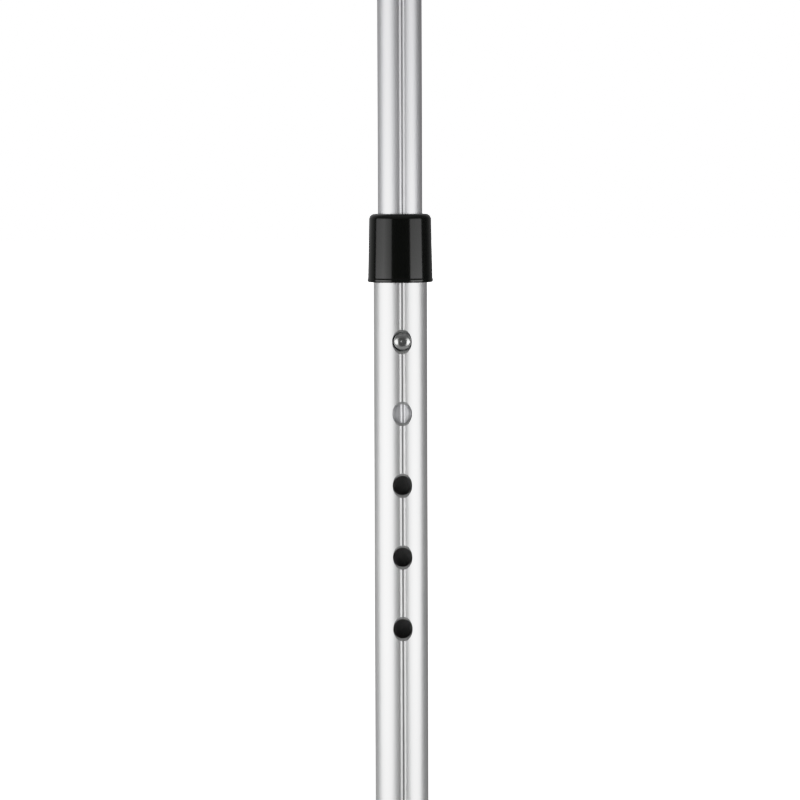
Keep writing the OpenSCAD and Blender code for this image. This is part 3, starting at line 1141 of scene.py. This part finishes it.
def frame_welds():
    verts = []
    faces = []
    for side in (1, -1):
        faces += quads(WELD_AROUND, WELD_SECTION, wrap=True, start=len(verts))
        verts += weld_bead(side)
    piece = new_piece("frame_welds_beads", verts, faces, sharp_angle=75)
    stand_for(piece, "frame_welds", WELD_METAL)


# ------------ the cane

upper_tube()
lower_tube()
base_socket()
leg_tube("inner", 1)
leg_tube("outer", -1)
frame_welds()
push_collar("tube_collar", LOWER_R, LOWER_R - LOWER_WALL, 2.5 * MM)
push_collar("socket_collar", SOCKET_R, SOCKET_R - SOCKET_WALL, 3 * MM)
socket_stop()
handle_grip()
handle_end_cap()
snap_button("height_button", BUTTON_Z)
snap_button("base_button", BASE_BUTTON_Z)
spring_clip("height_button_spring")
spring_clip("base_button_spring")
for corner in ("front_inner", "front_outer", "back_inner", "back_outer"):
    foot_tip("foot_tip_" + corner)
    foot_washer("foot_washer_" + corner)

# ------------ camera

VIEW_AZIMUTH = math.radians(-3.5)
VIEW_ELEVATION = math.radians(3.2)
VIEW_ROLL = math.radians(-0.195)
VIEW_DISTANCE = 1.65
VIEW_SIDE = -0.25 * MM
VIEW_BELOW_BUTTON = 21 * MM
LENS = 209.5


def photograph_camera():
    data = bpy.data.cameras.new("camera")
    data.lens = LENS
    camera = linked("camera", data)
    level = math.cos(VIEW_ELEVATION)
    side, front = math.sin(VIEW_AZIMUTH), -math.cos(VIEW_AZIMUTH)
    back = Vector((side * level, front * level, math.sin(VIEW_ELEVATION)))
    target = AXIS + Vector((VIEW_SIDE, 0, BUTTON_Z - VIEW_BELOW_BUTTON))
    camera.location = target + back * VIEW_DISTANCE
    roll = Quaternion((0, 0, 1), VIEW_ROLL)
    camera.rotation_mode = "QUATERNION"
    camera.rotation_quaternion = (-back).to_track_quat("-Z", "Y") @ roll
    bpy.context.scene.camera = camera


# ------------ stage

# The backdrop's strength, which the view shows as white
WHITE = 1.8
STUDIO_R = 1.15
WALL_R = 1.25
STUDIO_LOW = -0.6
STUDIO_TOP = 2.4
BOX_LOW = -0.3
BOX_TOP = 0.95
FAR = 24
# The floor's glow is painted light: faint inside the first radius and white outside the second
PALE_R = 0.7
WHITE_R = 2.0
# A softbox's brightness from its lower edge to its upper one, as (place, share) stops
LOWER_HALF = ((0, 0.15), (0.35, 0.6), (0.5, 1), (0.58, 0.95))
LEFT_UPRIGHT = (*LOWER_HALF, (0.68, 0.55), (1, 0.25))
RIGHT_UPRIGHT = (*LOWER_HALF, (0.68, 0.53), (0.75, 0.42), (1, 0.15))


def staged(name, verts, faces, material, uvs=None):
    """Part of the stage."""
    mesh = new_mesh(name, verts, faces, uvs)
    mesh.materials.append(material)
    thing = linked(name, mesh)
    return thing


def seen_by(thing, *rays):
    """Only these rays meet the thing."""
    for ray in ("camera", "diffuse", "glossy", "transmission", "volume_scatter", "shadow"):
        setattr(thing, "visible_" + ray, ray in rays)


def glow(name, strength, across=None, upright=None, lights=True):
    """Emission. Its strength may vary along a panel's UV axes, as (place, share) stops."""
    material = bpy.data.materials.new(name)
    material.use_nodes = True
    tree = material.node_tree
    tree.nodes.clear()
    place = new_node(tree, "ShaderNodeTexCoord").outputs["UV"]
    split = new_node(tree, "ShaderNodeSeparateXYZ", {0: place})
    level = strength
    for axis, stops in (("X", across), ("Y", upright)):
        if stops is None:
            continue
        ramp = new_node(tree, "ShaderNodeValToRGB", {"Fac": split.outputs[axis]})
        elements = ramp.color_ramp.elements
        for _ in stops[2:]:
            elements.new(0.5)
        for element, (spot, share) in zip(elements, stops):
            element.position = spot
            element.color = (share, share, share, 1)
        inputs = {0: ramp.outputs["Color"], 1: level}
        level = new_node(tree, "ShaderNodeMath", inputs, operation="MULTIPLY").outputs[0]
    emission = new_node(tree, "ShaderNodeEmission", {"Strength": level})
    new_node(tree, "ShaderNodeOutputMaterial", {"Surface": emission.outputs[0]})
    if not lights:
        material.cycles.emission_sampling = "NONE"
    return material


def curved_wall(name, start, stop, radius, bottom, top, material):
    """Part of an upright cylinder. Bearings are degrees to the right of the camera's side."""
    steps = max(2, math.ceil(abs(stop - start) / 5))
    verts = []
    uvs = []
    for k in range(steps + 1):
        a = math.radians(start + (stop - start) * k / steps)
        x, y = AXIS.x + radius * math.sin(a), AXIS.y - radius * math.cos(a)
        verts += [(x, y, bottom), (x, y, top)]
        uvs += [(k / steps, 0), (k / steps, 1)]
    faces = [[2 * k, 2 * k + 1, 2 * k + 3, 2 * k + 2] for k in range(steps)]
    return staged(name, verts, faces, material, uvs)


def disc(name, z, radius, material, steps=96):
    verts = [(AXIS.x + p.x, AXIS.y + p.y, z) for p in arc(0, 0, radius, 0, 360, steps)[:-1]]
    return staged(name, verts, [list(range(steps))], material)


def pale_floor():
    """Glows as painted light, faintly under the cane and white further off, and open from below.
    """
    finish = Finish("pale_floor", Roughness=0.9)
    finish.shader.inputs["Base Color"].default_value = (0.82, 0.82, 0.82, 1)
    finish.shader.inputs["Emission Color"].default_value = (1, 1, 1, 1)
    away = finish.vectors("LENGTH", {0: finish.coordinates((1, 1, 0))}, "Value")
    # Painted light: the glow grows with distance from the cane, leaving painted shade round it
    finish.drive("Emission Strength", finish.remap(away, PALE_R, WHITE_R, 0.25, WHITE))
    below = finish.add("ShaderNodeNewGeometry").outputs["Backfacing"]
    clear = finish.add("ShaderNodeBsdfTransparent").outputs[0]
    inputs = {0: below, 1: finish.shader.outputs[0], 2: clear}
    pick = finish.add("ShaderNodeMixShader", inputs)
    feed(finish.tree.nodes["Material Output"].inputs["Surface"], pick.outputs[0])
    finish.material.cycles.emission_sampling = "NONE"
    seen_by(disc("floor", 0, FAR, finish.material), "camera")


def white_surroundings():
    """White behind everything, and an even white light on what isn't shiny."""
    world = bpy.data.worlds.new("white")
    world.use_nodes = True
    world.node_tree.nodes["Background"].inputs["Color"].default_value = (1, 1, 1, 1)
    bpy.context.scene.world = world
    material = glow("white_backdrop", WHITE, lights=False)
    for part in (
        curved_wall("backdrop", 0, 360, FAR, -FAR, FAR, material),
        disc("backdrop_lid", FAR, FAR, material),
        disc("backdrop_base", -FAR, FAR, material),
    ):
        seen_by(part, "camera")


def dim_studio():
    """Dim walls, ceiling and ground that only reflections see."""
    for name, start, stop, strength, across, upright in (
        ("front", -112, 112, 0.14, None, ((0, 0.36), (0.5, 0.36), (0.62, 0.9), (1, 1))),
        ("rear_left", -112, -180, 0.5, ((0, 0.28), (1, 1)), None),
        ("rear_right", 112, 180, 0.34, ((0, 0.18), (1, 1)), None),
    ):
        material = glow("dim_" + name, strength, across, upright, lights=False)
        wall = curved_wall("wall_" + name, start, stop, WALL_R, STUDIO_LOW, STUDIO_TOP, material)
        seen_by(wall, "glossy")
    for name, z, strength in (("ceiling", STUDIO_TOP, 0.2), ("ground", STUDIO_LOW, 0.28)):
        material = glow("dim_" + name, strength, lights=False)
        seen_by(disc(name, z, WALL_R, material), "glossy")


def softbox(name, start, stop, strength, across, upright):
    material = glow(name, strength, across, upright)
    panel = curved_wall(name, start, stop, STUDIO_R, BOX_LOW, BOX_TOP, material)
    seen_by(panel, "diffuse", "glossy")


def soft_highlights():
    """Film-like shoulder: bright reflections ease towards white instead of clipping."""
    view = bpy.context.scene.view_settings
    view.view_transform = "Standard"
    view.use_curve_mapping = True
    mapping = view.curve_mapping
    mapping.white_level = (WHITE, WHITE, WHITE)
    curve = mapping.curves[3]
    curve.points[0].location = (0, 0)
    curve.points[1].location = (1, 1)
    for bright, shown in ((0.33, 0.33), (0.66, 0.65), (0.9, 0.81), (1.2, 0.895), (1.5, 0.945)):
        curve.points.new(bright / WHITE, shown)
    for point in curve.points:
        point.handle_type = "AUTO_CLAMPED"
    mapping.update()


photograph_camera()
pale_floor()
white_surroundings()
dim_studio()
softbox("left_softbox", -35, -102, 3.3, ((0, 0.5), (0.45, 1), (1, 0.55)), LEFT_UPRIGHT)
softbox("right_softbox", 33, 81, 3.2, ((0, 0.9), (0.5, 0.95), (1, 0.9)), RIGHT_UPRIGHT)
soft_highlights()
